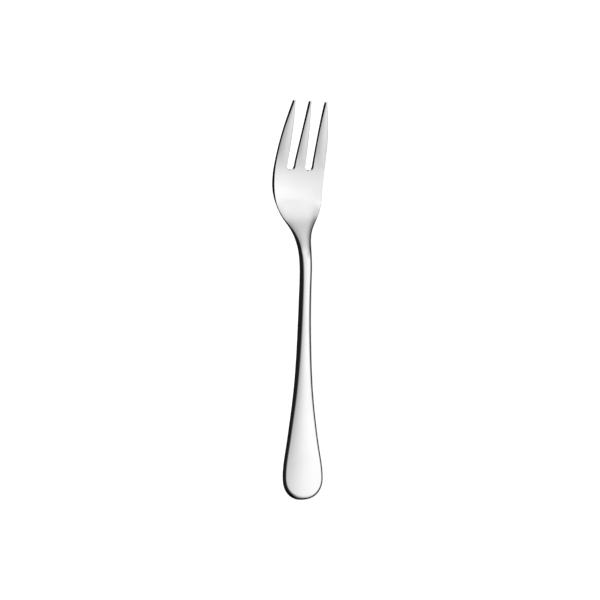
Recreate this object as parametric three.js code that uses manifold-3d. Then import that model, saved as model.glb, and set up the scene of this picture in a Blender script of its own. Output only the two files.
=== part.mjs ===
// A cake fork pressed from one strip of polished stainless steel: a flat drop-shaped handle, a slim
// raised neck, a shallow bowl and three pointed tines. Millimetres, +Y towards the tips, +Z up, with
// the origin on the table under the middle of the fork. The fork lies on the end of its handle and on
// the lowest part of its bowl. It is one rigid piece of metal, so its regions meet face to face.

import * as THREE from "three";
import { mergeVertices } from "three/addons/utils/BufferGeometryUtils.js";
import Module from "manifold-3d";

// Lengths of the four regions along the fork
const HANDLE_LENGTH = 74.8;
const NECK_LENGTH = 22;
const BOWL_LENGTH = 28;
const TINE_LENGTH = 25.2;

// Plan sizes
const HANDLE_WIDTH = 17.4;
const HANDLE_END_ROUND = 8.6;
const HANDLE_END_FULLNESS = 2.27;
const NECK_WIDTH = 5.66;
const HEAD_WIDTH = 21.95;
const TINE_MID_SPAN = 19.6;
const TIP_SPACING = 6.75;
const TIP_WIDTH = 1.5;
const SLOT_SPACING = 3.87;
const SLOT_WIDTH = 2.55;
const SLOT_LENGTH = 24.65;
const OUTER_TINE_CURL = 3.0;
const MIDDLE_TINE_CURL = 1.2;

// Heights of the underside above the table
const NECK_LIFT = 5.17;
const TIP_LIFT = 12.8;
const BOWL_LIFT = 0.06;

// Thickness of the metal
const HANDLE_THICKNESS = 2.1;
const NECK_THICKNESS = 2.87;
const BOWL_THICKNESS = 2.05;
const TIP_THICKNESS = 1.3;

// Slope that the upper face reaches at its edges, and how high the sides of the bowl stand
const HANDLE_CROWN = 0.076;
const SHANK_CROWN = 0.118;
const NECK_CROWN = 0.055;
const SHOULDER_CROWN = 0.14;
const SHOULDER_FULLNESS = 3;
const TINE_CROWN = 0.077;
const BOWL_DISH = 0.25;

// Width of the rounded edges, and the share of it that is a flat bevel
const END_EDGE = 1.9;
const HANDLE_EDGE = 1.37;
const NECK_EDGE = 1.72;
const SHOULDER_EDGE = 0.36;
const BOWL_EDGE = 0.6;
const TINE_EDGE = 0.57;
const HANDLE_BEVEL = 0.05;
const BOWL_BEVEL = 0.67;
const TINE_BEVEL = 0.72;

// Turn of the upper edge down to the arris, and of the undercut below it
const HANDLE_TURN = THREE.MathUtils.degToRad(47);
const HEAD_TURN = THREE.MathUtils.degToRad(50);
const LOWER_TURN = THREE.MathUtils.degToRad(62);

// Sampling of the faces and edges
const FACE_STEPS = 3;
const EDGE_STEPS = 3;
const STEP_LENGTH = 2.5;
const CAP_STEPS = 12;
const TIP_STEPS = 6;
const SAME_POINT = 1e-4;

// Places along the fork
const FORK_LENGTH = HANDLE_LENGTH + NECK_LENGTH + BOWL_LENGTH + TINE_LENGTH;
const END_Y = -FORK_LENGTH / 2;
const WIDEST_Y = END_Y + HANDLE_END_ROUND;
const NECK_Y = END_Y + HANDLE_LENGTH;
const BOWL_Y = NECK_Y + NECK_LENGTH;
const ROOT_Y = BOWL_Y + BOWL_LENGTH;
const TIP_Y = ROOT_Y + TINE_LENGTH;
const SLOT_RADIUS = SLOT_WIDTH / 2;
const TINE_Y = TIP_Y - SLOT_LENGTH + SLOT_RADIUS;
const TIP_RADIUS = TIP_WIDTH / 2;
const TIP_CENTRE_Y = TIP_Y - TIP_RADIUS;

const mix = (a, b, share) => a + (b - a) * share;
const alongTaper = (share) => mix(WIDEST_Y, NECK_Y, share);
const alongHandle = (share) => mix(END_Y, NECK_Y, share);
const alongNeck = (share) => mix(NECK_Y, BOWL_Y, share);
const alongBowl = (share) => mix(BOWL_Y, ROOT_Y, share);
const alongTine = (share) => mix(ROOT_Y, TIP_Y, share);

// A smooth curve through [y, value] stations, with continuous curvature. It starts level and ends free,
// and holds its first value before the first station.
function smoothCurve(stations) {
  const count = stations.length;
  const ys = stations.map(([y]) => y);
  const values = stations.map(([, value]) => value);
  const gap = (i) => ys[i + 1] - ys[i];
  const rise = (i) => (values[i + 1] - values[i]) / gap(i);
  const upper = [0.5];
  const right = [(3 * rise(0)) / gap(0)];
  for (let i = 1; i < count - 1; i++) {
    const pivot = 2 * (gap(i - 1) + gap(i)) - gap(i - 1) * upper[i - 1];
    upper[i] = gap(i) / pivot;
    right[i] = (6 * (rise(i) - rise(i - 1)) - gap(i - 1) * right[i - 1]) / pivot;
  }
  const bend = new Array(count).fill(0);
  for (let i = count - 2; i >= 0; i--) bend[i] = right[i] - upper[i] * bend[i + 1];

  const piece = (y) => {
    let i = 0;
    while (i < count - 2 && y > ys[i + 1]) i++;
    return i;
  };
  const value = (y) => {
    if (y <= ys[0]) return values[0];
    const i = piece(y);
    const before = y - ys[i];
    const after = ys[i + 1] - y;
    const curved = (bend[i] * after ** 3 + bend[i + 1] * before ** 3) / (6 * gap(i));
    const low = (values[i] / gap(i) - (bend[i] * gap(i)) / 6) * after;
    const high = (values[i + 1] / gap(i) - (bend[i + 1] * gap(i)) / 6) * before;
    return curved + low + high;
  };
  const slope = (y) => {
    if (y <= ys[0]) return 0;
    const i = piece(y);
    const before = y - ys[i];
    const after = ys[i + 1] - y;
    const curved = (bend[i + 1] * before ** 2 - bend[i] * after ** 2) / (2 * gap(i));
    return curved + rise(i) - ((bend[i + 1] - bend[i]) * gap(i)) / 6;
  };
  return { value, slope };
}

// Half of the fork's width: the handle narrows into the neck, and the shoulders swell into the head.
const taper = (share) => mix(NECK_WIDTH / 2, HANDLE_WIDTH / 2, share);
const swell = (share) => mix(NECK_WIDTH / 2, HEAD_WIDTH / 2, share);
const halfWidth = smoothCurve([
  [WIDEST_Y, taper(1)],
  [alongTaper(0.16), taper(0.772)],
  [alongTaper(0.3), taper(0.528)],
  [alongTaper(0.46), taper(0.295)],
  [alongTaper(0.73), taper(0.084)],
  [NECK_Y, taper(0)],
  [alongNeck(0.64), swell(0.001)],
  [alongNeck(0.91), swell(0.038)],
  [alongBowl(0.143), swell(0.215)],
  [alongBowl(0.357), swell(0.622)],
  [alongBowl(0.696), swell(0.968)],
  [alongTine(0.08), swell(1)],
  [alongTine(0.56), TINE_MID_SPAN / 2],
  [TIP_CENTRE_Y, TIP_SPACING + TIP_RADIUS],
]).value;

// The underside seen from the side: level handle end, raised neck, resting bowl and rising tines.
const underside = smoothCurve([
  [alongHandle(0.12), 0],
  [alongHandle(0.387), 0.124 * NECK_LIFT],
  [alongHandle(0.733), 0.478 * NECK_LIFT],
  [alongNeck(0.227), 0.867 * NECK_LIFT],
  [alongNeck(0.659), NECK_LIFT],
  [alongNeck(0.84), 0.926 * NECK_LIFT],
  [BOWL_Y, 0.746 * NECK_LIFT],
  [alongBowl(0.143), 0.507 * NECK_LIFT],
  [alongBowl(0.286), 0.272 * NECK_LIFT],
  [alongBowl(0.43), 0.122 * NECK_LIFT],
  [alongBowl(0.679), BOWL_LIFT],
  [alongBowl(0.857), 0.061 * TIP_LIFT],
  [alongTine(0.04), 0.175 * TIP_LIFT],
  [alongTine(0.24), 0.3465 * TIP_LIFT],
  [alongTine(0.48), 0.563 * TIP_LIFT],
  [alongTine(0.74), 0.785 * TIP_LIFT],
  [TIP_Y, TIP_LIFT],
]);

// Thickness square to the metal, and the height that it takes where the metal slopes.
const thickness = smoothCurve([
  [END_Y, HANDLE_THICKNESS],
  [alongHandle(0.4), mix(HANDLE_THICKNESS, NECK_THICKNESS, 0.26)],
  [alongHandle(0.87), mix(HANDLE_THICKNESS, NECK_THICKNESS, 0.84)],
  [alongNeck(0.55), NECK_THICKNESS],
  [alongBowl(0.18), mix(BOWL_THICKNESS, NECK_THICKNESS, 0.6)],
  [alongBowl(0.71), BOWL_THICKNESS],
  [TINE_Y, mix(BOWL_THICKNESS, TIP_THICKNESS, 0.25)],
  [TIP_Y, TIP_THICKNESS],
]).value;
const metalHeight = (y) => thickness(y) * Math.hypot(1, underside.slope(y));

// Slope of the crowned upper face at its edges, how late the slope comes, and the rise of the bowl's sides.
const crown = smoothCurve([
  [END_Y, HANDLE_CROWN],
  [alongHandle(0.3), mix(HANDLE_CROWN, SHANK_CROWN, 0.6)],
  [alongHandle(0.5), SHANK_CROWN],
  [alongHandle(0.75), SHANK_CROWN],
  [alongNeck(0.2), mix(NECK_CROWN, SHANK_CROWN, 0.2)],
  [alongNeck(0.6), NECK_CROWN],
  [alongNeck(0.9), mix(NECK_CROWN, SHOULDER_CROWN, 0.5)],
  [alongBowl(0.15), mix(NECK_CROWN, SHOULDER_CROWN, 0.9)],
  [alongBowl(0.3), SHOULDER_CROWN],
  [alongBowl(0.43), 0.75 * SHOULDER_CROWN],
  [alongBowl(0.52), 0.4 * SHOULDER_CROWN],
  [alongBowl(0.62), 0.05 * SHOULDER_CROWN],
  [alongBowl(0.72), 0],
  [TINE_Y, 0],
]).value;
const fullness = smoothCurve([
  [BOWL_Y, 2],
  [alongBowl(0.3), SHOULDER_FULLNESS],
  [alongBowl(0.7), SHOULDER_FULLNESS],
  [TINE_Y, 2],
  [TIP_Y, 2],
]).value;
const dish = smoothCurve([
  [alongNeck(0.9), 0],
  [alongBowl(0.3), 0.2 * BOWL_DISH],
  [alongBowl(0.7), BOWL_DISH],
  [TINE_Y, 0.25 * BOWL_DISH],
  [alongTine(0.4), 0],
  [TIP_Y, 0],
]).value;
const floorAt = (x, y) => underside.value(y) + dish(y) * (x / (HEAD_WIDTH / 2)) ** 2;

// Width of the rounded upper edge along the rim, its bevelled share and its turn down to the arris.
const edge = smoothCurve([
  [END_Y, HANDLE_EDGE],
  [alongHandle(0.5), mix(HANDLE_EDGE, NECK_EDGE, 0.2)],
  [alongHandle(0.85), NECK_EDGE],
  [alongNeck(0.5), NECK_EDGE],
  [alongNeck(0.95), mix(SHOULDER_EDGE, NECK_EDGE, 0.75)],
  [alongBowl(0.2), mix(SHOULDER_EDGE, NECK_EDGE, 0.3)],
  [alongBowl(0.36), SHOULDER_EDGE],
  [alongBowl(0.5), SHOULDER_EDGE],
  [alongBowl(0.65), BOWL_EDGE],
  [TINE_Y, TINE_EDGE],
  [TIP_Y, 1.15 * TINE_EDGE],
]).value;
const bevel = smoothCurve([
  [BOWL_Y, HANDLE_BEVEL],
  [alongBowl(0.36), mix(HANDLE_BEVEL, BOWL_BEVEL, 0.13)],
  [alongBowl(0.5), mix(HANDLE_BEVEL, BOWL_BEVEL, 0.5)],
  [alongBowl(0.65), BOWL_BEVEL],
  [TINE_Y, TINE_BEVEL],
  [TIP_Y, TINE_BEVEL],
]).value;
const upperTurn = smoothCurve([
  [alongBowl(0.3), HANDLE_TURN],
  [alongBowl(0.65), HEAD_TURN],
  [TINE_Y, HEAD_TURN],
  [TIP_Y, HEAD_TURN],
]).value;

// Half a cross-section. Its upper side runs from the spine over the crowned face, round the edge and down
// the bevel to the arris. Its lower side is flat, and turns up to the arris in an undercut.
const WIDEST_EDGE = 0.75;
const WIDEST_UNDERCUT = 0.9;
function halfSection(spine, rim, slope, rimEdge = edge(rim[1])) {
  const reach = Math.hypot(rim[0] - spine[0], rim[1] - spine[1]);
  const run = Math.min(rimEdge, WIDEST_EDGE * reach);
  const flat = bevel(rim[1]) * run;
  const face = reach - run;
  const full = fullness(rim[1]);
  const faceFall = (slope * face) / full;
  const first = Math.sin(Math.atan(slope));
  const arrisTurn = upperTurn(rim[1]);
  const last = Math.sin(arrisTurn);
  const radius = (run - flat) / (last - first);

  const upper = [];
  for (let i = 0; i < FACE_STEPS; i++) {
    const out = i / FACE_STEPS;
    upper.push([mix(reach, run, out), faceFall * out ** full]);
  }
  for (let i = 0; i <= EDGE_STEPS; i++) {
    const turn = mix(Math.asin(first), arrisTurn, i / EDGE_STEPS);
    const inset = flat + radius * (last - Math.sin(turn));
    upper.push([inset, faceFall + radius * (Math.sqrt(1 - first ** 2) - Math.cos(turn))]);
  }
  const arrisFall = upper.at(-1)[1] + flat * Math.tan(arrisTurn);
  upper.push([0, arrisFall]);

  const arrisHeight = metalHeight(rim[1]) - arrisFall;
  const undercut = Math.min(arrisHeight / Math.tan(LOWER_TURN / 2), WIDEST_UNDERCUT * reach);
  const lower = [];
  for (let i = 0; i < FACE_STEPS; i++) lower.push([mix(reach, undercut, i / FACE_STEPS), 0]);
  for (let i = 0; i <= EDGE_STEPS + 1; i++) {
    const turn = (i / (EDGE_STEPS + 1)) * LOWER_TURN;
    const inset = undercut * (1 - Math.sin(turn) / Math.sin(LOWER_TURN));
    lower.push([inset, (1 - Math.cos(turn)) / (1 - Math.cos(LOWER_TURN))]);
  }

  const place = (inset, height) => {
    const x = mix(rim[0], spine[0], inset / reach);
    const y = mix(rim[1], spine[1], inset / reach);
    return new THREE.Vector3(x, y, floorAt(x, y) + height(metalHeight(y)));
  };
  return {
    upper: upper.map(([inset, fall]) => place(inset, (metal) => metal - fall)),
    lower: lower.map(([inset, share]) => place(inset, (metal) => (metal - arrisFall) * share)),
  };
}

// A body made of half-sections that follow the outline, closed by flat ends where it meets the next.
class MetalRegion {
  constructor() {
    this.corners = [];
  }

  quad(a, b, c, d) {
    this.corners.push(a, b, c, a, c, d);
  }

  // Skin between neighbouring half-sections, walking with the metal on the left-hand side
  skin(sections) {
    for (let i = 0; i + 1 < sections.length; i++) {
      const [near, far] = [sections[i], sections[i + 1]];
      for (let k = 0; k + 1 < near.upper.length; k++) {
        this.quad(near.upper[k], near.upper[k + 1], far.upper[k + 1], far.upper[k]);
        this.quad(near.lower[k + 1], near.lower[k], far.lower[k], far.lower[k + 1]);
      }
    }
  }

  // Flat end over one half-section, facing the tips (1) or the handle's end (-1)
  close(section, facing) {
    const { upper, lower } = section;
    const side = Math.sign(upper.at(-1).x - upper[0].x);
    for (let k = 0; k + 1 < upper.length; k++) {
      if (side === facing) this.quad(upper[k], upper[k + 1], lower[k + 1], lower[k]);
      else this.quad(upper[k], lower[k], lower[k + 1], upper[k + 1]);
    }
  }

  geometry() {
    const loose = new THREE.BufferGeometry().setFromPoints(this.corners);
    const joined = mergeVertices(loose, SAME_POINT);
    const old = joined.index.array;
    const kept = [];
    for (let i = 0; i < old.length; i += 3) {
      const [a, b, c] = old.slice(i, i + 3);
      if (a !== b && b !== c && c !== a) kept.push(a, b, c);
    }
    joined.setIndex(kept);
    joined.computeVertexNormals();
    return joined;
  }
}

const stepsBetween = (from, to) => {
  const count = Math.ceil((to - from) / STEP_LENGTH);
  return Array.from({ length: count + 1 }, (_, i) => mix(from, to, i / count));
};

// Handle: down its left side, round its end and back up its right side
function handleGeometry() {
  const section = (x, y) => halfSection([0, y], [x, y], crown(y));
  const along = stepsBetween(WIDEST_Y, NECK_Y);
  const left = along.map((y) => section(-halfWidth(y), y)).reverse();
  const right = along.map((y) => section(halfWidth(y), y));
  const round = [];
  for (let i = 1; i < CAP_STEPS; i++) {
    const turn = (i / CAP_STEPS) * Math.PI;
    const power = 2 / HANDLE_END_FULLNESS;
    const across = -Math.sign(Math.cos(turn)) * Math.abs(Math.cos(turn)) ** power;
    const down = Math.sin(turn) ** power;
    const rim = [(HANDLE_WIDTH / 2) * across, WIDEST_Y - HANDLE_END_ROUND * down];
    const endEdge = mix(edge(WIDEST_Y), END_EDGE, Math.sin(turn) ** 2);
    const endCrown = crown(WIDEST_Y) * Math.cos(turn) ** 2;
    round.push(halfSection([0, WIDEST_Y], rim, endCrown, endEdge));
  }
  const region = new MetalRegion();
  region.skin([...left, ...round, ...right]);
  region.close(left[0], 1);
  region.close(right.at(-1), 1);
  return region.geometry();
}

// Neck or bowl: both sides between two flat ends
function bandGeometry(from, to) {
  const along = stepsBetween(from, to);
  const section = (side) => (y) => halfSection([0, y], [side * halfWidth(y), y], crown(y));
  const left = along.map(section(-1)).reverse();
  const right = along.map(section(1));
  const region = new MetalRegion();
  region.skin(left);
  region.skin(right);
  region.close(left[0], 1);
  region.close(right.at(-1), 1);
  region.close(left.at(-1), -1);
  region.close(right[0], -1);
  return region.geometry();
}

// Tine: number -1, 0 or 1 from left to right; its edges are the slots' sides or the fork's outline
function tineGeometry(number) {
  const tipX = number * TIP_SPACING;
  const curl = number === 0 ? MIDDLE_TINE_CURL : OUTER_TINE_CURL;
  const share = (y) => Math.max((y - TINE_Y) / (TIP_CENTRE_Y - TINE_Y), 0) ** curl;
  const slotSide = (slot, side) => (y) =>
    mix(slot * SLOT_SPACING + side * SLOT_RADIUS, tipX - side * TIP_RADIUS, share(y));
  const outline = (side) => (y) => side * halfWidth(y);
  const leftEdge = number < 0 ? outline(-1) : slotSide(number === 0 ? -1 : 1, 1);
  const rightEdge = number > 0 ? outline(1) : slotSide(number === 0 ? 1 : -1, -1);
  const along = stepsBetween(TINE_Y, TIP_CENTRE_Y);
  const slope = (y) => TINE_CROWN * THREE.MathUtils.smoothstep(y, TINE_Y, alongTine(0.3));
  const spine = (y) => [(leftEdge(y) + rightEdge(y)) / 2, y];
  const left = along.map((y) => halfSection(spine(y), [leftEdge(y), y], slope(y)));
  const right = along.map((y) => halfSection(spine(y), [rightEdge(y), y], slope(y))).reverse();
  const round = [];
  for (let i = 1; i < TIP_STEPS; i++) {
    const turn = Math.PI - (i / TIP_STEPS) * Math.PI;
    const rim = [tipX + TIP_RADIUS * Math.cos(turn), TIP_CENTRE_Y + TIP_RADIUS * Math.sin(turn)];
    round.push(halfSection([tipX, TIP_CENTRE_Y], rim, TINE_CROWN));
  }
  const region = new MetalRegion();
  region.skin([...left, ...round, ...right].reverse());
  region.close(left[0], -1);
  region.close(right.at(-1), -1);
  return region.geometry();
}

// Round-ended cutter for one slot, standing through the bowl
function slotCutter(side) {
  const shape = new THREE.Shape();
  const x = side * SLOT_SPACING;
  const past = TINE_Y + SLOT_WIDTH;
  shape.moveTo(x + SLOT_RADIUS, past);
  shape.lineTo(x - SLOT_RADIUS, past);
  shape.lineTo(x - SLOT_RADIUS, TINE_Y);
  shape.absarc(x, TINE_Y, SLOT_RADIUS, Math.PI, 2 * Math.PI, false);
  shape.closePath();
  const cutter = new THREE.ExtrudeGeometry(shape, {
    depth: TIP_LIFT + NECK_LIFT,
    bevelEnabled: false,
    curveSegments: CAP_STEPS,
  });
  return cutter.translate(0, 0, -NECK_LIFT);
}

const wasm = await Module();
wasm.setup();

function solidOf(geometry) {
  const bare = geometry.clone();
  bare.deleteAttribute("normal");
  bare.deleteAttribute("uv");
  const merged = mergeVertices(bare, SAME_POINT);
  const mesh = new wasm.Mesh({
    numProp: 3,
    vertProperties: merged.attributes.position.array,
    triVerts: new Uint32Array(merged.index.array),
  });
  return new wasm.Manifold(mesh);
}

function geometryOf(solid) {
  const mesh = solid.getMesh();
  const geometry = new THREE.BufferGeometry();
  geometry.setAttribute("position", new THREE.BufferAttribute(mesh.vertProperties, 3));
  geometry.setIndex(new THREE.BufferAttribute(mesh.triVerts, 1));
  geometry.computeVertexNormals();
  return geometry;
}

function bowlGeometry() {
  const whole = solidOf(bandGeometry(BOWL_Y, TINE_Y));
  const oneSlot = whole.subtract(solidOf(slotCutter(-1)));
  return geometryOf(oneSlot.subtract(solidOf(slotCutter(1))));
}

const fork = new THREE.Group();
fork.name = "cake_fork";

function addRegion(name, geometry) {
  const steel = new THREE.MeshStandardMaterial({ color: 0xd2d4d6, roughness: 0.08, metalness: 1 });
  const mesh = new THREE.Mesh(geometry, steel);
  mesh.name = name;
  fork.add(mesh);
}

addRegion("handle", handleGeometry());
addRegion("neck", bandGeometry(NECK_Y, BOWL_Y));
addRegion("bowl", bowlGeometry());
addRegion("left_tine", tineGeometry(-1));
addRegion("middle_tine", tineGeometry(0));
addRegion("right_tine", tineGeometry(1));

export default fork;
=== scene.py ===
"""A cake fork of mirror-polished steel, laid on a white table under a large soft light.

The fork is modelled the way it is made. A flat blank is cut to its outline with rounded edges, and a
press then bends it along its side profile and hollows the bowl. All lengths are in metres, +Y points
to the tips and +Z points up.
"""

import logging
import math
from bisect import bisect_right
from dataclasses import dataclass
from enum import Enum
from functools import partial
from typing import Callable, Iterable, NamedTuple, Sequence

import bmesh
import bpy
from mathutils import Matrix, Vector


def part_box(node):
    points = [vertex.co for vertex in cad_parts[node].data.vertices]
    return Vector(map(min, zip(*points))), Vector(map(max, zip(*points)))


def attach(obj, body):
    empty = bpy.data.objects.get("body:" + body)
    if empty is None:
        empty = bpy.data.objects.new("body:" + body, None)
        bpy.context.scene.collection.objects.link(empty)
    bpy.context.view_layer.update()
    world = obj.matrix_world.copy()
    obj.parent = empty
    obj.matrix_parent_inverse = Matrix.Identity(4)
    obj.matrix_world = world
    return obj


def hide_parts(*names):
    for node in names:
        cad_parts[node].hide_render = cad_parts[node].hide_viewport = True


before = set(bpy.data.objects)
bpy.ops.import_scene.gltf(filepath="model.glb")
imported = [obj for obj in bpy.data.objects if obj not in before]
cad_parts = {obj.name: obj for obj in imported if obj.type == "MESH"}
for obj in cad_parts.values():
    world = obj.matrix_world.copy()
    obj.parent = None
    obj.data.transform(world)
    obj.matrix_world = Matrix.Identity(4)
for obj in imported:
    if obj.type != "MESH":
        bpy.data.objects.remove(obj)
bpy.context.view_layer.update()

log = logging.getLogger("cake_fork")

MM = 0.001

# Sockets of the Mix node when it blends colours.
MIX_SHARE, MIX_FIRST, MIX_SECOND, MIX_RESULT = 0, 6, 7, 2

Socket = bpy.types.NodeSocket
Colour = tuple[float, float, float, float]
Stops = tuple[tuple[float, float], ...]
WHITE: Colour = (1.0, 1.0, 1.0, 1.0)


def mix(a: float, b: float, share: float) -> float:
    """Value that lies the given share of the way from a to b."""
    return a + (b - a) * share


def even(start: float, end: float, steps: int) -> list[float]:
    """Evenly spaced values from start to end."""
    return [mix(start, end, i / steps) for i in range(steps + 1)]


def ease(start: float, end: float, value: float) -> float:
    """Smooth step from 0 at start to 1 at end."""
    share = min(max((value - start) / (end - start), 0.0), 1.0)
    return share * share * (3.0 - 2.0 * share)


def between(
    along: Callable[[float], float], low: float, high: float, *shares: tuple[float, float]
) -> list[tuple[float, float]]:
    """Stations along a region, from shares of its length and of the way from low to high."""
    return [(along(place), mix(low, high, share)) for place, share in shares]


def put(name: str, data: bpy.types.ID) -> bpy.types.Object:
    """New object in the scene that carries the given data."""
    thing = bpy.data.objects.new(name, data)
    bpy.context.scene.collection.objects.link(thing)
    return thing


class SmoothCurve:
    """Curve of continuous curvature through stations along the fork.

    It starts level, ends free and holds its first value before the first station.
    """

    def __init__(self, stations: Sequence[tuple[float, float]]) -> None:
        """Solve for the bend at each station.

        Args:
            stations: Pairs of place along the fork and value there, in order.
        """
        self.places = [place for place, _ in stations]
        self.values = [value for _, value in stations]
        count = len(stations)
        upper = [0.5]
        right = [3.0 * self._rise(0) / self._gap(0)]
        for i in range(1, count - 1):
            before, after = self._gap(i - 1), self._gap(i)
            pivot = 2.0 * (before + after) - before * upper[i - 1]
            upper.append(after / pivot)
            right.append((6.0 * (self._rise(i) - self._rise(i - 1)) - before * right[i - 1]) / pivot)
        self.bends = [0.0] * count
        for i in range(count - 2, -1, -1):
            self.bends[i] = right[i] - upper[i] * self.bends[i + 1]

    def _gap(self, i: int) -> float:
        """Distance from station i to the next."""
        return self.places[i + 1] - self.places[i]

    def _rise(self, i: int) -> float:
        """Mean slope from station i to the next."""
        return (self.values[i + 1] - self.values[i]) / self._gap(i)

    def __call__(self, place: float) -> float:
        """Read the curve.

        Args:
            place: Distance along the fork.

        Returns:
            The curve's value there.
        """
        if place <= self.places[0]:
            return self.values[0]
        i = min(bisect_right(self.places, place) - 1, len(self.places) - 2)
        gap = self._gap(i)
        before, after = place - self.places[i], self.places[i + 1] - place
        curved = (self.bends[i] * after**3 + self.bends[i + 1] * before**3) / (6.0 * gap)
        low = (self.values[i] / gap - self.bends[i] * gap / 6.0) * after
        high = (self.values[i + 1] / gap - self.bends[i + 1] * gap / 6.0) * before
        return curved + low + high


class Side(Enum):
    """Left or right of the fork, seen from above with the tips pointing away."""

    LEFT = -1
    RIGHT = 1


class Tine(Enum):
    """The three tines, by their place across the head."""

    LEFT = -1
    MIDDLE = 0
    RIGHT = 1


@dataclass(frozen=True)
class ForkSizes:
    """Driving sizes of the fork, in metres."""

    handle_length: float = 74.8 * MM
    neck_length: float = 22.0 * MM
    bowl_length: float = 28.0 * MM
    tine_length: float = 25.2 * MM
    handle_width: float = 17.4 * MM
    handle_end_round: float = 8.6 * MM
    handle_end_fullness: float = 2.27
    neck_width: float = 5.66 * MM
    head_width: float = 21.95 * MM
    tine_mid_span: float = 19.6 * MM
    tip_spacing: float = 6.75 * MM
    tip_width: float = 1.5 * MM
    slot_spacing: float = 3.87 * MM
    slot_width: float = 2.55 * MM
    slot_length: float = 24.65 * MM
    outer_tine_curl: float = 3.0
    middle_tine_curl: float = 1.2
    neck_lift: float = 5.17 * MM
    tip_lift: float = 12.8 * MM
    bowl_lift: float = 0.06 * MM
    handle_thickness: float = 2.1 * MM
    neck_thickness: float = 2.87 * MM
    bowl_thickness: float = 2.05 * MM
    tip_thickness: float = 1.3 * MM
    handle_crown: float = 0.076
    shank_crown: float = 0.118
    neck_crown: float = 0.055
    shoulder_crown: float = 0.14
    face_fullness: float = 2.0
    shoulder_fullness: float = 3.0
    tine_crown: float = 0.077
    bowl_dish: float = 0.25 * MM
    end_edge: float = 1.9 * MM
    handle_edge: float = 1.37 * MM
    neck_edge: float = 1.72 * MM
    shoulder_edge: float = 0.36 * MM
    bowl_edge: float = 0.6 * MM
    tine_edge: float = 0.57 * MM
    tip_edge: float = 0.6555 * MM
    handle_bevel: float = 0.05
    bowl_bevel: float = 0.67
    tine_bevel: float = 0.72
    handle_turn: float = math.radians(47.0)
    head_turn: float = math.radians(50.0)
    lower_turn: float = math.radians(62.0)


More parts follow.
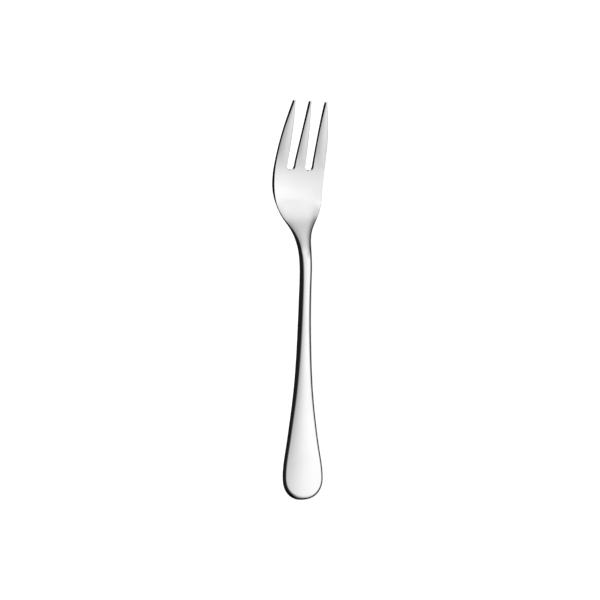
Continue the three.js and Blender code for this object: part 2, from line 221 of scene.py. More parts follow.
class ForkForm:
    """Places along the fork and the smooth curves that give its outline, bend and thickness."""

    def __init__(self, sizes: ForkSizes) -> None:
        """Work out the places and lay the curves through their stations.

        Args:
            sizes: Driving sizes of the fork.
        """
        self.sizes = s = sizes
        self.end_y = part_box("handle")[0].y
        self.neck_y = self.end_y + s.handle_length
        self.bowl_y = self.neck_y + s.neck_length
        self.root_y = self.bowl_y + s.bowl_length
        self.tip_y = self.root_y + s.tine_length
        self.widest_y = self.end_y + s.handle_end_round
        self.slot_radius = s.slot_width / 2
        self.tine_y = self.tip_y - s.slot_length + self.slot_radius
        self.tip_radius = s.tip_width / 2
        self.tip_centre_y = self.tip_y - self.tip_radius
        # Each gives the place at a share of its region's length.
        self.along_taper = partial(mix, self.widest_y, self.neck_y)
        self.along_handle = partial(mix, self.end_y, self.neck_y)
        self.along_neck = partial(mix, self.neck_y, self.bowl_y)
        self.along_bowl = partial(mix, self.bowl_y, self.root_y)
        self.along_tine = partial(mix, self.root_y, self.tip_y)
        self.half_width = self._half_width()
        self.underside = self._underside()
        self.thickness = self._thickness()
        self.crown = self._crown()
        handle, neck = self.along_handle, self.along_neck
        bowl, tine = self.along_bowl, self.along_tine
        self.fullness = SmoothCurve([
            (self.bowl_y, s.face_fullness),
            (bowl(0.3), s.shoulder_fullness),
            (bowl(0.7), s.shoulder_fullness),
            (self.tine_y, s.face_fullness),
            (self.tip_y, s.face_fullness),
        ])
        self.hollow = SmoothCurve([
            (neck(0.9), 0.0),
            (bowl(0.3), 0.2),
            (bowl(0.7), 1.0),
            (self.tine_y, 0.25),
            (tine(0.4), 0.0),
            (self.tip_y, 0.0),
        ])
        self.edge = SmoothCurve([
            (self.end_y, s.handle_edge),
            *between(handle, s.handle_edge, s.neck_edge, (0.5, 0.2), (0.85, 1.0)),
            *between(neck, s.shoulder_edge, s.neck_edge, (0.5, 1.0), (0.95, 0.75)),
            *between(bowl, s.shoulder_edge, s.neck_edge, (0.2, 0.3), (0.36, 0.0), (0.5, 0.0)),
            (bowl(0.65), s.bowl_edge),
            (self.tine_y, s.tine_edge),
            (self.tip_y, s.tip_edge),
        ])
        self.bevel = SmoothCurve([
            (self.bowl_y, s.handle_bevel),
            *between(bowl, s.handle_bevel, s.bowl_bevel, (0.36, 0.13), (0.5, 0.5), (0.65, 1.0)),
            (self.tine_y, s.tine_bevel),
            (self.tip_y, s.tine_bevel),
        ])
        self.turn = SmoothCurve([
            (bowl(0.3), s.handle_turn),
            (bowl(0.65), s.head_turn),
            (self.tine_y, s.head_turn),
            (self.tip_y, s.head_turn),
        ])

    def _half_width(self) -> SmoothCurve:
        """Half of the outline's width: handle taper, slim neck, swelling shoulders and tines."""
        s = self.sizes
        neck, handle, head = s.neck_width / 2, s.handle_width / 2, s.head_width / 2
        return SmoothCurve([
            (self.widest_y, handle),
            *between(self.along_taper, neck, handle, (0.16, 0.772), (0.3, 0.528)),
            *between(self.along_taper, neck, handle, (0.46, 0.295), (0.73, 0.084), (1.0, 0.0)),
            *between(self.along_neck, neck, head, (0.64, 0.001), (0.91, 0.038)),
            *between(self.along_bowl, neck, head, (0.143, 0.215), (0.357, 0.622), (0.696, 0.968)),
            (self.along_tine(0.08), head),
            (self.along_tine(0.56), s.tine_mid_span / 2),
            (self.tip_centre_y, s.tip_spacing + self.tip_radius),
        ])

    def _underside(self) -> SmoothCurve:
        """Height of the underside: level handle end, raised neck, resting bowl and rising tines."""
        rest, neck, tip = 0.0, self.sizes.neck_lift, self.sizes.tip_lift
        return SmoothCurve([
            *between(self.along_handle, rest, neck, (0.12, 0.0), (0.387, 0.124), (0.733, 0.478)),
            *between(self.along_neck, rest, neck, (0.227, 0.867), (0.659, 1.0), (0.84, 0.926)),
            *between(self.along_bowl, rest, neck, (0.0, 0.746), (0.143, 0.507)),
            *between(self.along_bowl, rest, neck, (0.286, 0.272), (0.43, 0.122)),
            (self.along_bowl(0.679), self.sizes.bowl_lift),
            (self.along_bowl(0.857), 0.061 * tip),
            *between(self.along_tine, rest, tip, (0.04, 0.175), (0.24, 0.3465), (0.48, 0.563)),
            *between(self.along_tine, rest, tip, (0.74, 0.785), (1.0, 1.0)),
        ])

    def _crown(self) -> SmoothCurve:
        """Slope that the upper face reaches where its edge begins to turn down."""
        s = self.sizes
        flat, shank, neck, shoulder = 0.0, s.shank_crown, s.neck_crown, s.shoulder_crown
        return SmoothCurve([
            (self.end_y, s.handle_crown),
            *between(self.along_handle, s.handle_crown, shank, (0.3, 0.6), (0.5, 1.0), (0.75, 1.0)),
            *between(self.along_neck, neck, shank, (0.2, 0.2), (0.6, 0.0)),
            (self.along_neck(0.9), mix(neck, shoulder, 0.5)),
            (self.along_bowl(0.15), mix(neck, shoulder, 0.9)),
            *between(self.along_bowl, flat, shoulder, (0.3, 1.0), (0.43, 0.75), (0.52, 0.4)),
            *between(self.along_bowl, flat, shoulder, (0.62, 0.05), (0.72, 0.0)),
            (self.tine_y, flat),
        ])

    def _thickness(self) -> SmoothCurve:
        """Thickness of the metal, square to its underside."""
        s = self.sizes
        return SmoothCurve([
            (self.end_y, s.handle_thickness),
            *between(self.along_handle, s.handle_thickness, s.neck_thickness, (0.4, 0.26), (0.87, 0.84)),
            (self.along_neck(0.55), s.neck_thickness),
            *between(self.along_bowl, s.bowl_thickness, s.neck_thickness, (0.18, 0.6), (0.71, 0.0)),
            (self.tine_y, mix(s.bowl_thickness, s.tip_thickness, 0.25)),
            (self.tip_y, s.tip_thickness),
        ])

    def tine_sides(self, tine: Tine, y: float) -> tuple[float, float]:
        """Left and right edge of a tine.

        Args:
            tine: Which tine.
            y: Place along the fork, held between the centres of the slots' round bottoms and of the tips.

        Returns:
            The x of its left edge and of its right edge.
        """
        s = self.sizes
        y = min(max(y, self.tine_y), self.tip_centre_y)
        curl = s.middle_tine_curl if tine is Tine.MIDDLE else s.outer_tine_curl
        share = ((y - self.tine_y) / (self.tip_centre_y - self.tine_y)) ** curl
        tip_x = tine.value * s.tip_spacing

        def slot_side(slot: float, side: int) -> float:
            """Edge from the slot's round bottom to the tip."""
            start = slot * s.slot_spacing + side * self.slot_radius
            return mix(start, tip_x - side * self.tip_radius, share)

        if tine is Tine.LEFT:
            return -self.half_width(y), slot_side(-1, -1)
        if tine is Tine.RIGHT:
            return slot_side(1, 1), self.half_width(y)
        return slot_side(-1, 1), slot_side(1, -1)


class BlankPoint(NamedTuple):
    """Point of the flat blank, seen in plan.

    Attributes:
        inset: Distance from the rim.
        run: Width of the rounded edge there.
        reach: Half of the metal's width there.
        crown: Slope of the upper face where its edge begins to turn down.
    """

    x: float
    y: float
    inset: float
    run: float
    reach: float
    crown: float


CrossLine = list[BlankPoint]


@dataclass
class BlankSkin:
    """Closed skin of the flat blank: an upper and a lower sheet that share the rim."""

    form: ForkForm
    same_point: float = 1e-7
    narrow_share: float = 0.9

    def __post_init__(self) -> None:
        """Start with no points and no faces."""
        self.points: list[BlankPoint] = []
        self.faces: list[list[int]] = []
        self._known: dict[tuple[int, int], int] = {}

    def _index(self, point: BlankPoint) -> int:
        """Number of a point, shared by all patches that meet in it."""
        key = (round(point.x / self.same_point), round(point.y / self.same_point))
        if key not in self._known:
            self._known[key] = len(self.points)
            self.points.append(point)
        return self._known[key]

    def add_patch(self, lines: Sequence[CrossLine]) -> None:
        """Lay faces between neighbouring cross-lines.

        Args:
            lines: Cross-lines with the same number of points each.
        """
        grid = [[self._index(point) for point in line] for line in lines]
        for near, far in zip(grid, grid[1:]):
            for k in range(len(near) - 1):
                ring = (near[k], near[k + 1], far[k + 1], far[k])
                face = [v for i, v in enumerate(ring) if v != ring[i - 1]]
                if len(face) > 2:
                    self.faces.append(face if self._turns_left(face) else face[::-1])

    def _turns_left(self, face: Sequence[int]) -> bool:
        """True for a face that runs anticlockwise in plan."""
        area = 0.0
        for a, b in zip(face, [*face[1:], face[0]]):
            p, q = self.points[a], self.points[b]
            area += p.x * q.y - q.x * p.y
        return area > 0.0

    def mesh(self, station: Callable[[float], float]) -> bpy.types.Mesh:
        """Raise the plan into a flat blank of the right thickness.

        Args:
            station: Gives the distance along the bent underside for a place along the fork.

        Returns:
            Mesh with the point attributes hollow and rim.
        """
        vertices = [(p.x, station(p.y), self._heights(p)[0]) for p in self.points]
        lower: list[int] = []
        for i, point in enumerate(self.points):
            if point.inset <= 0.0:
                lower.append(i)
            else:
                lower.append(len(vertices))
                vertices.append((point.x, station(point.y), self._heights(point)[1]))
        owners = [*self.points, *(p for p in self.points if p.inset > 0.0)]
        attributes = {
            "hollow": [self.form.hollow(p.y) for p in owners],
            "rim": [1.0 - min(p.inset / p.run, 1.0) for p in owners],
        }
        faces = [*self.faces, *([lower[v] for v in reversed(face)] for face in self.faces)]
        mesh = bpy.data.meshes.new("flat_blank")
        mesh.from_pydata(vertices, [], faces)
        for name, values in attributes.items():
            mesh.attributes.new(name, "FLOAT", "POINT").data.foreach_set("value", values)
        return mesh

    def _heights(self, point: BlankPoint) -> tuple[float, float]:
        """Height of the upper and of the lower sheet over the flat underside.

        Args:
            point: Point of the plan.

        Returns:
            Upper height and lower height, which are equal on the rim.
        """
        turn = self.form.sizes.lower_turn
        metal = self.form.thickness(point.y)
        nose = metal - self._fall(point._replace(inset=0.0))
        run = min(nose / math.tan(turn / 2), self.narrow_share * point.reach)
        across = math.sin(turn) * max(1.0 - point.inset / run, 0.0)
        lower = nose * (1.0 - math.sqrt(1.0 - across**2)) / (1.0 - math.cos(turn))
        return metal - self._fall(point), lower

    def _fall(self, point: BlankPoint) -> float:
        """Depth of the upper sheet below its spine, over the crowned face and round the edge.

        Args:
            point: Point of the plan.

        Returns:
            The depth, which turns into the edge without a crease.
        """
        face, full = point.reach - point.run, self.form.fullness(point.y)
        if point.inset >= point.run:
            return point.crown * face / full * ((point.reach - point.inset) / face) ** full
        turn = self.form.turn(point.y)
        bevel = self.form.bevel(point.y) * point.run
        first, last = math.sin(math.atan(point.crown)), math.sin(turn)
        arc = point.run - bevel
        across = mix(last, first, max(point.inset - bevel, 0.0) / arc)
        rounding = arc / (last - first) * (math.sqrt(1.0 - first**2) - math.sqrt(1.0 - across**2))
        return point.crown * face / full + rounding + max(bevel - point.inset, 0.0) * math.tan(turn)


@dataclass
class BlankCutter:
    """Lays out the plan of the blank: handle, neck and bowl, then tines, slots and tips."""

    form: ForkForm
    edge_steps: int = 10
    arris_share: float = 0.02
    margin_steps: int = 3
    margin: float = 0.6 * MM
    narrow_share: float = 0.8
    run_share: float = 0.94
    gather_share: float = 0.1
    crown_share: float = 0.3
    row_length: float = 0.8 * MM
    end_steps: int = 56
    outer_columns: int = 6
    middle_columns: int = 6
    root_columns: int = 8

    def __post_init__(self) -> None:
        """Work out the frame of rows and columns round the bottoms of the slots."""
        form = self.form
        self.root_reach = form.slot_radius + form.sizes.tine_edge + self.margin
        self.fork_y = form.tine_y - self.root_reach
        self.half_columns = self.outer_columns + self.root_columns + self.middle_columns // 2
        self.columns = self._columns_at_fork()

    def _band(self, y: float, reach: float) -> tuple[float, float]:
        """Run of the edge and width of the band that carries it.

        Args:
            y: Place along the fork.
            reach: Half of the metal's width there.

        Returns:
            The run of the rounded edge and the width of the band.
        """
        widest = self.narrow_share * reach
        run = min(self.form.edge(y), self.run_share * widest)
        return run, min(run + self.margin, widest)

    def _insets(self, y: float, run: float, band: float) -> list[float]:
        """Insets of the band's points, from the rim inwards over the bevel and the rounding."""
        full = self.form.turn(y)
        bevel = self.form.bevel(y) * run
        turns = even(full, 0.0, self.edge_steps - 2)
        rounding = [mix(run, bevel, math.sin(turn) / math.sin(full)) for turn in turns]
        past = even(run, band, self.margin_steps)[1:]
        return [0.0, self.arris_share * run, *rounding, *past]

    def _columns_at_fork(self) -> list[float]:
        """Places of the right-hand columns where the head forks, as shares of the inner half-width."""
        form = self.form
        slot, reach = form.sizes.slot_spacing, self.root_reach
        half = form.half_width(self.fork_y)
        inner = half - self._band(self.fork_y, half)[1]
        middle = even(0.0, slot - reach, self.middle_columns // 2)[:-1]
        root = [slot + reach * math.tan(turn) for turn in self._root_turns()]
        outer = even(slot + reach, inner, self.outer_columns)[1:]
        return [x / inner for x in (*middle, *root, *outer)]

    def _root_turns(self) -> list[float]:
        """Angles of the columns below a slot, from the slot's centre line."""
        return even(-math.pi / 4, math.pi / 4, self.root_columns)

    def _half_line(self, y: float, side: Side) -> CrossLine:
        """Points from the spine to one rim, square to the fork."""
        form = self.form
        half = form.half_width(y)
        run, band = self._band(y, half)
        gathered = ease(form.along_bowl(self.gather_share), self.fork_y, y)
        points = []
        for i, share in enumerate(self.columns):
            x = (half - band) * mix(i / self.half_columns, share, gathered)
            points.append(BlankPoint(side.value * x, y, half - x, run, half, form.crown(y)))
        return [*points, *reversed(self._trunk_rim(y, side)[:-1])]

    def _trunk_rim(self, y: float, side: Side) -> CrossLine:
        """Band of the rim of the handle, neck or bowl, from the rim inwards."""
        half = self.form.half_width(y)
        run, band = self._band(y, half)
        return [
            BlankPoint(side.value * (half - inset), y, inset, run, half, self.form.crown(y))
            for inset in self._insets(y, run, band)
        ]

    def cut_trunk(self, skin: BlankSkin) -> None:
        """Lay out handle, neck and bowl up to the fork of the tines.

        Args:
            skin: Skin that takes the patches.
        """
        form = self.form
        count = math.ceil((self.fork_y - form.widest_y) / self.row_length)
        rows = even(form.widest_y, self.fork_y, count)
        for side in Side:
            skin.add_patch([self._half_line(y, side) for y in rows])
        skin.add_patch([
            self._half_line(form.widest_y, Side.LEFT),
            *(self._end_line(turn) for turn in even(0.0, math.pi, self.end_steps)[1:-1]),
            self._half_line(form.widest_y, Side.RIGHT),
        ])

    def _end_line(self, turn: float) -> CrossLine:
        """Points from the middle of the handle's round end to its rim.

        Args:
            turn: Angle round the end, from 0 on the left to a half turn on the right.

        Returns:
            The cross-line.
        """
        form = self.form
        power = 2.0 / form.sizes.handle_end_fullness
        across = -math.copysign(abs(math.cos(turn)) ** power, math.cos(turn))
        rim = Vector((
            form.sizes.handle_width / 2 * across,
            -form.sizes.handle_end_round * math.sin(turn) ** power,
        ))
        reach = rim.length
        side_run, side_band = self._band(form.widest_y, form.sizes.handle_width / 2)
        run = mix(side_run, form.sizes.end_edge, math.sin(turn) ** 2)
        band = side_band + run - side_run
        insets = even(reach, band, self.half_columns)
        insets += reversed(self._insets(form.widest_y, run, band)[:-1])
        points = []
        for inset in insets:
            place = rim * (1.0 - inset / reach)
            y = form.widest_y + place.y
            crown = form.crown(y) * math.cos(turn) ** 2
            points.append(BlankPoint(place.x, y, inset, run, reach, crown))
        return points

    def cut_tines(self, skin: BlankSkin) -> None:
        """Lay out the three tines with their tips, and the rims of the two slots.

        Args:
            skin: Skin that takes the patches.
        """
        rows = self._tine_rows()
        for tine in Tine:
            skin.add_patch([self._tine_line(tine, y) for y in rows])
            skin.add_patch(self._tip_lines(tine))
        for side in Side:
            skin.add_patch(self._slot_lines(side))
            skin.add_patch(self._outer_lines(side))

    def _tine_rows(self) -> list[float]:
        """Places of the rows from the fork to the tips."""
        form = self.form
        turns = self._root_turns()[: self.root_columns // 2]
        beside = [form.tine_y + self.root_reach * math.tan(turn) for turn in turns]
        count = math.ceil((form.tip_centre_y - form.tine_y) / self.row_length)
        return [*beside, *even(form.tine_y, form.tip_centre_y, count)]

    def _tine_core(self, tine: Tine, y: float) -> tuple[float, float]:
        """Left and right border of the tine's inner columns, between the bands of its rims."""
        form = self.form
        slot, reach = form.sizes.slot_spacing, self.root_reach
        left, right = form.tine_sides(tine, y)
        band = self._band(y, (right - left) / 2)[1]
        if y >= form.tine_y:
            return left + band, right - band
        outer = form.half_width(y) - band
        borders = {
            Tine.LEFT: (-outer, -slot - reach),
            Tine.MIDDLE: (-slot + reach, slot - reach),
            Tine.RIGHT: (slot + reach, outer),
        }
        return borders[tine]

    def _tine_point(self, tine: Tine, x: float, y: float, inset: float, run: float) -> BlankPoint:
        """Point of a tine, whose upper face falls a little towards both sides."""
        form = self.form
        left, right = form.tine_sides(tine, y)
        risen = ease(form.tine_y, form.along_tine(self.crown_share), y)
        return BlankPoint(x, y, inset, run, (right - left) / 2, form.sizes.tine_crown * risen)

    def _tine_line(self, tine: Tine, y: float) -> CrossLine:
        """Inner columns of a tine at one row, from left to right."""
        count = self.middle_columns if tine is Tine.MIDDLE else self.outer_columns
        left, right = self._tine_core(tine, y)
        sides = self.form.tine_sides(tine, y)
        run = self._band(y, (sides[1] - sides[0]) / 2)[0]
        points = []
        for x in even(left, right, count):
            inset = max(min(x - sides[0], sides[1] - x), run)
            points.append(self._tine_point(tine, x, y, inset, run))
        return points

    def _rim_line(self, tine: Tine, y: float, side: Side) -> CrossLine:
        """Band of a tine's rim at one row, from the rim inwards."""
        left, right = self.form.tine_sides(tine, y)
        rim = left if side is Side.LEFT else right
        run, band = self._band(y, (right - left) / 2)
        return [
            self._tine_point(tine, rim - side.value * inset, y, inset, run)
            for inset in self._insets(y, run, band)
        ]

    def _outer_lines(self, side: Side) -> list[CrossLine]:
        """Bands along the outer rim of the head, from the fork to the tip."""
        fork = self.form.tine_y
        return [
            self._trunk_rim(y, side) if y < fork else self._rim_line(Tine(side.value), y, side)
            for y in self._tine_rows()
        ]

    def _slot_lines(self, side: Side) -> list[CrossLine]:
        """Bands along a slot: down one tine, round the bottom and up the next tine."""
        form = self.form
        left, right = (Tine.LEFT, Tine.MIDDLE) if side is Side.LEFT else (Tine.MIDDLE, Tine.RIGHT)
        rows = [y for y in self._tine_rows() if y >= form.tine_y]
        turns = even(math.pi, 2 * math.pi, 2 * self.root_columns)[1:-1]
        return [
            *(self._rim_line(left, y, Side.RIGHT) for y in reversed(rows)),
            *(self._root_line(side, turn) for turn in turns),
            *(self._rim_line(right, y, Side.LEFT) for y in rows),
        ]

    def _root_line(self, side: Side, turn: float) -> CrossLine:
        """Band across the round bottom of a slot.

        Args:
            side: Which slot.
            turn: Angle round the bottom, from a half turn on the left to a full turn on the right.

        Returns:
            The cross-line from the rim out to the square frame of rows and columns.
        """
        form = self.form
        across, along = math.cos(turn), math.sin(turn)
        run = form.sizes.tine_edge
        band = self.root_reach / max(abs(across), abs(along)) - form.slot_radius
        points = []
        for inset in self._insets(form.tine_y, run, band):
            x = side.value * form.sizes.slot_spacing + across * (form.slot_radius + inset)
            y = form.tine_y + along * (form.slot_radius + inset)
            points.append(BlankPoint(x, y, inset, run, form.sizes.head_width / 2, 0.0))
        return points

    def _tip_lines(self, tine: Tine) -> list[CrossLine]:
        """Bands round the tip of a tine, from the rim in to the last row of inner columns."""
        form = self.form
        core = self._tine_line(tine, form.tip_centre_y)
        run, band = self._band(form.tip_centre_y, form.tip_radius)
        insets = self._insets(form.tip_centre_y, run, band)
        tip_x = tine.value * form.sizes.tip_spacing
        lines = []
        for inner, turn in zip(core, even(math.pi, 0.0, len(core) - 1)):
            across, along = math.cos(turn), math.sin(turn)
            line = []
            for k, inset in enumerate(insets):
                radius = form.tip_radius - min(inset, run)
                past = max(k - self.edge_steps, 0) / self.margin_steps
                x = mix(tip_x + across * radius, inner.x, past)
                y = mix(form.tip_centre_y + along * radius, inner.y, past)
                line.append(self._tine_point(tine, x, y, inset, run))
            lines.append(line)
        return lines


@dataclass(frozen=True)
class NodeBench:
    """Puts nodes into a tree and wires them up."""

    tree: bpy.types.NodeTree

    @classmethod
    def clear(cls, owner: bpy.types.Material | bpy.types.World) -> "NodeBench":
        """Bench on the emptied tree of a material or a world."""
        owner.use_nodes = True
        owner.node_tree.nodes.clear()
        return cls(owner.node_tree)

    def add(
        self, kind: str, inputs: dict[str | int, object] | None = None, **settings: object
    ) -> bpy.types.Node:
        """Add one node.

        Args:
            kind: Blender's name of the node type.
            inputs: Plain values, or output sockets to link, by input name or number.
            settings: Attributes of the node itself.

        Returns:
            The new node.
        """
        node = self.tree.nodes.new(kind)
        for name, value in settings.items():
            setattr(node, name, value)
        for name, value in (inputs or {}).items():
            if isinstance(value, Socket):
                self.tree.links.new(value, node.inputs[name])
            else:
                node.inputs[name].default_value = value
        return node

    def math(self, operation: str, *values: object) -> Socket:
        """Result of a Math node with the given values or sockets as its inputs."""
        return self.add("ShaderNodeMath", dict(enumerate(values)), operation=operation).outputs[0]

    def vector(self, operation: str, **inputs: object) -> Socket:
        """Result of a Vector Math node; inputs a and b are vectors, scale is a number."""
        slots = {"a": 0, "b": 1, "scale": 3}
        wired = {slots[name]: value for name, value in inputs.items()}
        return self.add("ShaderNodeVectorMath", wired, operation=operation).outputs[0]

    def remap(
        self, value: Socket, start: float, end: float, low: float = 0.0, high: float = 1.0
    ) -> Socket:
        """Value carried from the span between start and end to the span between low and high."""
        spans = {"From Min": start, "From Max": end, "To Min": low, "To Max": high}
        return self.add("ShaderNodeMapRange", {"Value": value, **spans}).outputs[0]


@dataclass
class Press:
    """Tool that bends the flat blank along the fork's side profile and hollows its bowl."""

    form: ForkForm
    profile_step: float = 0.25 * MM

    def __post_init__(self) -> None:
        """Trace the underside and measure the distance along it."""
        form = self.form
        count = round((form.tip_y - form.end_y) / self.profile_step)
        places = even(form.end_y, form.tip_y, count)
        self.path = [Vector((0.0, y, form.underside(y))) for y in places]
        self.lengths = [0.0]
        for a, b in zip(self.path, self.path[1:]):
            self.lengths.append(self.lengths[-1] + (b - a).length)

    def station(self, y: float) -> float:
        """Distance along the underside from the end of the handle to a place y.

        Args:
            y: Place along the fork.

        Returns:
            The distance, which is the place on the flat blank.
        """
        span = self.path[-1].y - self.path[0].y
        share = (y - self.path[0].y) / span * (len(self.path) - 1)
        i = min(max(int(share), 0), len(self.path) - 2)
        return mix(self.lengths[i], self.lengths[i + 1], share - i)

    def profile(self) -> bpy.types.Object:
        """Side profile of the press as a curve object."""
        curve = bpy.data.curves.new("side_profile", "CURVE")
        curve.dimensions = "3D"
        spline = curve.splines.new("POLY")
        spline.points.add(len(self.path) - 1)
        for point, place in zip(spline.points, self.path):
            point.co = (*place, 1.0)
        return put("side_profile", curve)

    def tree(self) -> bpy.types.NodeTree:
        """Geometry nodes that press the blank.

        Returns:
            Tree with the inputs Blank, Profile, Dish Depth, Head Half Width and Steel.
        """
        tree = bpy.data.node_groups.new("press_blank", "GeometryNodeTree")
        kinds = {
            "Blank": "Geometry",
            "Profile": "Object",
            "Dish Depth": "Float",
            "Head Half Width": "Float",
            "Steel": "Material",
        }
        for name, kind in kinds.items():
            tree.interface.new_socket(name, in_out="INPUT", socket_type=f"NodeSocket{kind}")
        tree.interface.new_socket("Fork", in_out="OUTPUT", socket_type="NodeSocketGeometry")
        bench = NodeBench(tree)
        given = bench.add("NodeGroupInput").outputs
        flat = bench.add(
            "ShaderNodeSeparateXYZ", {0: bench.add("GeometryNodeInputPosition").outputs[0]}
        ).outputs
        path = bench.add("GeometryNodeObjectInfo", {"Object": given["Profile"]}).outputs["Geometry"]
        bent = bench.add("GeometryNodeSampleCurve", {"Curves": path, "Length": flat["Y"]}, mode="LENGTH")
        hollow = bench.add("GeometryNodeInputNamedAttribute", {"Name": "hollow"}, data_type="FLOAT")
        across = bench.math("DIVIDE", flat["X"], given["Head Half Width"])
        bowl = bench.math("MULTIPLY", bench.math("MULTIPLY", across, across), given["Dish Depth"])
        height = bench.math("MULTIPLY_ADD", bowl, hollow.outputs["Attribute"], flat["Z"])
        upward = bench.vector("CROSS_PRODUCT", a=(1.0, 0.0, 0.0), b=bent.outputs["Tangent"])
        raised = bench.vector("SCALE", a=upward, scale=height)
        sideways = bench.add("ShaderNodeCombineXYZ", {"X": flat["X"]}).outputs[0]
        place = bench.vector(
            "ADD", a=bench.vector("ADD", a=bent.outputs["Position"], b=raised), b=sideways
        )
        moved = bench.add("GeometryNodeSetPosition", {"Geometry": given["Blank"], "Position": place})
        smooth = bench.add("GeometryNodeSetShadeSmooth", {"Geometry": moved.outputs[0]})
        dressed = bench.add(
            "GeometryNodeSetMaterial", {"Geometry": smooth.outputs[0], "Material": given["Steel"]}
        )
        bench.add("NodeGroupOutput", {0: dressed.outputs[0]})
        return tree

    def press(self, blank: bpy.types.Mesh, steel: bpy.types.Material, name: str) -> bpy.types.Object:
        """Bend a flat blank.

        Args:
            blank: Mesh of the flat blank.
            steel: Material of the finished piece.
            name: Name of the finished piece.

        Returns:
            The pressed piece as a plain mesh object at the origin.
        """
        profile, work = self.profile(), put("blank", blank)
        modifier = work.modifiers.new("press", "NODES")
        modifier.node_group = self.tree()
        sizes = self.form.sizes
        values = {
            "Profile": profile,
            "Dish Depth": sizes.bowl_dish,
            "Head Half Width": sizes.head_width / 2,
            "Steel": steel,
        }
        for socket in modifier.node_group.interface.items_tree:
            if socket.in_out == "INPUT" and socket.name in values:
                modifier[socket.identifier] = values[socket.name]
        depsgraph = bpy.context.evaluated_depsgraph_get()
        mesh = bpy.data.meshes.new_from_object(work.evaluated_get(depsgraph), depsgraph=depsgraph)
        mesh.name = name
        for tool in (work, profile):
            bpy.data.objects.remove(tool)
        return put(name, mesh)


@dataclass(frozen=True)
class PolishedSteel:
    """Mirror finish of the fork, with the traces of the polishing wheel."""

    tone: Colour = (0.80, 0.80, 0.805, 1.0)
    worn_tone: Colour = (0.76, 0.76, 0.765, 1.0)
    roughness: float = 0.05
    smudge_roughness: float = 0.03
    rim_roughness: float = 0.04
    line_width: float = 0.25 * MM
    line_length: float = 14.0 * MM
    line_depth: float = 0.0002 * MM
    line_detail: float = 2.0
    smudge_size: float = 18.0 * MM
    smudge_detail: float = 3.0
    smudge_start: float = 0.4
    smudge_end: float = 0.7

    def _polishing_marks(self) -> bpy.types.NodeTree:
        """Node group of polishing lines along the fork and of faint smudges.

        Returns:
            Group with the inputs Line Width, Line Length and Smudge Size, and the outputs Lines and Smudge.
        """
        group = bpy.data.node_groups.new("polishing_marks", "ShaderNodeTree")
        for name in ("Line Width", "Line Length", "Smudge Size"):
            group.interface.new_socket(name, in_out="INPUT", socket_type="NodeSocketFloat")
        for name in ("Lines", "Smudge"):
            group.interface.new_socket(name, in_out="OUTPUT", socket_type="NodeSocketFloat")
        bench = NodeBench(group)
        given = bench.add("NodeGroupInput").outputs
        place = bench.add("ShaderNodeTexCoord").outputs["Object"]
        across = bench.math("DIVIDE", 1.0, given["Line Width"])
        along = bench.math("DIVIDE", 1.0, given["Line Length"])
        stretch = bench.add("ShaderNodeCombineXYZ", {"X": across, "Y": along, "Z": across}).outputs[0]
        long = bench.vector("MULTIPLY", a=place, b=stretch)
        wide = bench.vector("SCALE", a=place, scale=bench.math("DIVIDE", 1.0, given["Smudge Size"]))
        lines, cloud = (
            bench.add("ShaderNodeTexNoise", {"Vector": drawn, "Scale": 1.0, "Detail": detail}).outputs[0]
            for drawn, detail in ((long, self.line_detail), (wide, self.smudge_detail))
        )
        smudge = bench.remap(cloud, self.smudge_start, self.smudge_end)
        bench.add("NodeGroupOutput", {"Lines": lines, "Smudge": smudge})
        return group

    def material(self) -> bpy.types.Material:
        """Material of the polished steel.

        Returns:
            Metal whose roughness and tone follow the polishing marks and the rim.
        """
        material = bpy.data.materials.new("polished_steel")
        bench = NodeBench.clear(material)
        sizes = {
            "Line Width": self.line_width,
            "Line Length": self.line_length,
            "Smudge Size": self.smudge_size,
        }
        marks = bench.add("ShaderNodeGroup", sizes, node_tree=self._polishing_marks()).outputs
        rim = bench.add("ShaderNodeAttribute", attribute_name="rim").outputs["Fac"]
        dulled = bench.math("MULTIPLY_ADD", marks["Smudge"], self.smudge_roughness, self.roughness)
        rough = bench.math("MULTIPLY_ADD", rim, self.rim_roughness, dulled)
        tones = {MIX_SHARE: marks["Smudge"], MIX_FIRST: self.tone, MIX_SECOND: self.worn_tone}
        tone = bench.add("ShaderNodeMix", tones, data_type="RGBA").outputs[MIX_RESULT]
        relief = bench.add(
            "ShaderNodeBump",
            {"Height": marks["Lines"], "Distance": self.line_depth, "Strength": 1.0},
        ).outputs[0]
        steel = bench.add(
            "ShaderNodeBsdfPrincipled",
            {"Base Color": tone, "Metallic": 1.0, "Roughness": rough, "Normal": relief},
        )
        bench.add("ShaderNodeOutputMaterial", {"Surface": steel.outputs[0]})
        return material


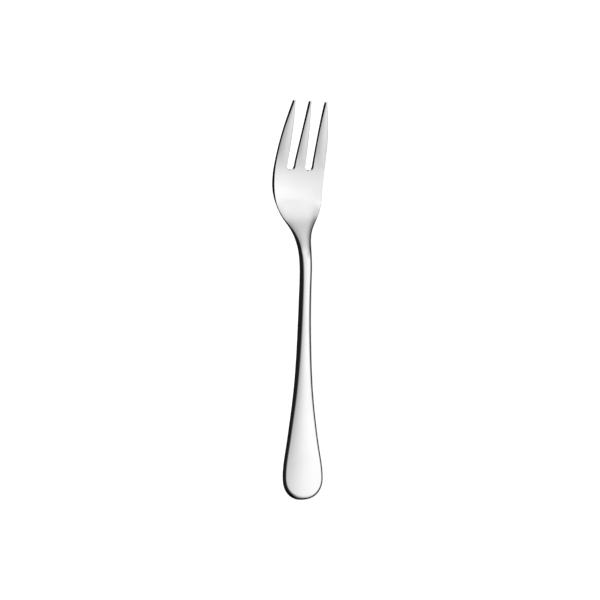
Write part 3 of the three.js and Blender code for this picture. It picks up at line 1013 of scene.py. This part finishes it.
@dataclass
class CakeFork:
    """The whole fork: one pressed piece of steel."""

    sizes: ForkSizes
    finish: PolishedSteel
    name: str = "polished_fork"

    def build(self) -> bpy.types.Object:
        """Cut the blank, press it and check that its skin is closed.

        Returns:
            The fork as one mesh object.
        """
        form = ForkForm(self.sizes)
        cutter, press = BlankCutter(form), Press(form)
        skin = BlankSkin(form)
        cutter.cut_trunk(skin)
        cutter.cut_tines(skin)
        fork = press.press(skin.mesh(press.station), self.finish.material(), self.name)
        self._check_closed(fork.data)
        return fork

    def _check_closed(self, mesh: bpy.types.Mesh) -> None:
        """Stop if an edge of the skin has not exactly two faces."""
        check = bmesh.new()
        check.from_mesh(mesh)
        loose = [edge for edge in check.edges if len(edge.link_faces) != 2]
        volume = check.calc_volume(signed=True)
        check.free()
        if loose or volume <= 0.0:
            raise ValueError(f"{len(loose)} open edges, volume {volume:.3e}")

    def attach(self, fork: bpy.types.Object) -> None:
        """Tie the piece to the root body and hide the imported parts.

        Args:
            fork: The pressed fork.
        """
        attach(fork, "root")
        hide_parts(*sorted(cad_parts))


@dataclass(frozen=True)
class PaleTable:
    """White table top that the fork lies on."""

    tone: Colour = (0.97, 0.97, 0.97, 1.0)
    glow: float = 0.77
    half_size: float = 4.0

    def build(self) -> bpy.types.Object:
        """Lay the table top.

        Returns:
            The floor object.
        """
        h = self.half_size
        mesh = bpy.data.meshes.new("table_top")
        mesh.from_pydata([(-h, -h, 0.0), (h, -h, 0.0), (h, h, 0.0), (-h, h, 0.0)], [], [(0, 1, 2, 3)])
        material = bpy.data.materials.new("white_table")
        bench = NodeBench.clear(material)
        matte = bench.add("ShaderNodeBsdfDiffuse", {"Color": self.tone})
        ray = bench.add("ShaderNodeLightPath").outputs
        seen = bench.math("MAXIMUM", ray["Is Camera Ray"], ray["Is Glossy Ray"])
        glow = bench.add("ShaderNodeEmission", {"Strength": bench.math("MULTIPLY", seen, self.glow)})
        both = bench.add("ShaderNodeAddShader", {0: matte.outputs[0], 1: glow.outputs[0]})
        bench.add("ShaderNodeOutputMaterial", {"Surface": both.outputs[0]})
        mesh.materials.append(material)
        floor = put("table_top", mesh)
        return floor


class Flag(NamedTuple):
    """Soft dark cloth that hangs before the light, round one angle and one place along the fork."""

    angle: float
    spread: float
    y: float
    depth: float
    shade: float


@dataclass(frozen=True)
class SoftStudio:
    """Large curved diffuser over the right side of the table, a dark left side and a white backdrop.

    Attributes:
        levels: Angles in degrees from straight up towards the right, and the light's level there.
        turns: How far directions point along the fork, and the light's turn in degrees there.
    """

    levels: Stops = (
        (-90.0, 0.015), (-12.0, 0.015), (0.0, 0.06), (8.0, 0.3), (15.0, 0.63),
        (21.0, 0.93), (27.0, 1.16), (33.0, 1.28), (38.0, 1.3), (43.0, 1.15),
        (48.0, 0.62), (54.0, 0.22), (62.0, 0.05), (72.0, 0.015), (90.0, 0.015),
    )
    turns: Stops = (
        (-1.0, -5.0), (-0.6, -4.0), (-0.2, -1.0), (0.1, 0.0), (0.28, 1.5),
        (0.38, 5.5), (0.46, 3.5), (0.55, -1.0), (0.65, -5.5), (1.0, -5.5),
    )
    middle_y: float = 0.02
    end_fade: float = 1.08
    least_fade: float = 0.12
    flags: tuple[Flag, ...] = (
        Flag(angle=38.0, spread=11.0, y=0.3, depth=0.15, shade=0.28),
        Flag(angle=46.0, spread=15.0, y=0.48, depth=0.18, shade=0.24),
    )
    near_start: float = -0.62
    near_end: float = -0.76
    near_level: float = 0.22
    far_start: float = 0.57
    far_end: float = 0.67
    far_level: float = 1.0
    backdrop: float = 1.0

    def _ramp(self, bench: NodeBench, value: Socket, stops: Stops) -> Socket:
        """Follow a row of stops.

        Args:
            bench: Bench of the world's tree.
            value: Place among the stops.
            stops: Places and levels, in order.

        Returns:
            The level there.
        """
        first, last = stops[0][0], stops[-1][0]
        low, high = min(level for _, level in stops), max(level for _, level in stops)
        ramp = bench.add("ShaderNodeValToRGB", {0: bench.remap(value, first, last)})
        ramp.color_ramp.interpolation = "LINEAR"
        marks = ramp.color_ramp.elements
        while len(marks) < len(stops):
            marks.new(0.5)
        for mark, (place, level) in zip(marks, stops):
            mark.position = (place - first) / (last - first)
            shade = (level - low) / (high - low)
            mark.color = (shade, shade, shade, 1.0)
        return bench.math("MULTIPLY_ADD", ramp.outputs[0], high - low, low)

    def _hang_flags(self, bench: NodeBench, level: Socket, angle: Socket, along: Socket) -> Socket:
        """Darken the light softly behind each flag.

        Args:
            bench: Bench of the world's tree.
            level: Level of the light without flags.
            angle: Angle of the direction from straight up, in degrees.
            along: How far the direction points along the fork.

        Returns:
            The level that the flags leave.
        """
        for flag in self.flags:
            across = bench.math("DIVIDE", bench.math("SUBTRACT", angle, flag.angle), flag.spread)
            deep = bench.math("DIVIDE", bench.math("SUBTRACT", along, flag.y), flag.depth)
            off = bench.math("MULTIPLY_ADD", across, across, bench.math("MULTIPLY", deep, deep))
            inside = bench.math("MAXIMUM", bench.math("SUBTRACT", 1.0, off), 0.0)
            shade = bench.math("MULTIPLY", bench.math("MULTIPLY", inside, inside), flag.shade)
            level = bench.math("MULTIPLY", level, bench.math("SUBTRACT", 1.0, shade))
        return level

    def build(self) -> bpy.types.World:
        """Light the scene.

        Returns:
            World whose level follows the angle from straight up.
        """
        world = bpy.data.worlds.new("soft_studio")
        bench = NodeBench.clear(world)
        place = bench.add("ShaderNodeTexCoord").outputs["Generated"]
        axis = bench.add("ShaderNodeSeparateXYZ", {0: place}).outputs
        angle = bench.math("DEGREES", bench.math("ARCTAN2", axis["X"], axis["Z"]))
        turned = bench.math("ADD", angle, self._ramp(bench, axis["Y"], self.turns))
        level = self._ramp(bench, turned, self.levels)
        offset = bench.math("SUBTRACT", axis["Y"], self.middle_y)
        spread = bench.math("MULTIPLY", offset, offset)
        fade = bench.math("MULTIPLY_ADD", spread, -self.end_fade, 1.0)
        faded = bench.math("MULTIPLY", bench.math("MAXIMUM", fade, self.least_fade), level)
        overhead = self._hang_flags(bench, faded, angle, axis["Y"])
        near = bench.remap(axis["Y"], self.near_end, self.near_start, self.near_level)
        far = bench.remap(axis["Y"], self.far_start, self.far_end, high=self.far_level)
        lit = bench.math("MAXIMUM", bench.math("MULTIPLY", overhead, near), far)
        seen = bench.add("ShaderNodeLightPath").outputs["Is Camera Ray"]
        strength = bench.math("MAXIMUM", lit, bench.math("MULTIPLY", seen, self.backdrop))
        light = bench.add("ShaderNodeBackground", {"Strength": strength, "Color": WHITE})
        bench.add("ShaderNodeOutputWorld", {"Surface": light.outputs[0]})
        bpy.context.scene.world = world
        return world


@dataclass(frozen=True)
class PortraitCamera:
    """Long lens above the left side of the handle."""

    lens: float = 100.0
    sensor: float = 36.0
    distance: float = 632.6 * MM
    lean_left: float = 28.0
    lean_back: float = 2.83
    roll: float = -1.213
    aim: tuple[float, float, float] = (0.92 * MM, 0.534 * MM, 0.0)

    def build(self) -> bpy.types.Object:
        """Set up the scene's camera.

        Returns:
            The camera object.
        """
        data = bpy.data.cameras.new("portrait")
        data.lens, data.sensor_width = self.lens, self.sensor
        left, near = (math.tan(math.radians(lean)) for lean in (self.lean_left, self.lean_back))
        back = Vector((-left, -near, 1.0)).normalized()
        ahead = Vector((0.0, 1.0, 0.0))
        up = (ahead - back * ahead.dot(back)).normalized()
        right = up.cross(back)
        roll = Matrix.Rotation(math.radians(self.roll), 4, "Z")
        pose = Matrix((right, up, back)).transposed().to_4x4() @ roll
        pose.translation = Vector(self.aim) + back * self.distance
        camera = put("portrait", data)
        camera.matrix_world = pose
        bpy.context.scene.camera = camera
        return camera


def main() -> None:
    """Build the fork, the table, the light and the camera."""
    logging.basicConfig(level=logging.INFO, format="%(name)s: %(message)s")
    bpy.context.scene.view_settings.view_transform = "Standard"
    assembly = CakeFork(ForkSizes(), PolishedSteel())
    fork = assembly.build()
    assembly.attach(fork)
    log.info("%s: %d faces", fork.name, len(fork.data.polygons))
    for setting in (PaleTable(), SoftStudio(), PortraitCamera()):
        log.info("%s: in place", setting.build().name)


if __name__ == "__main__":
    main()
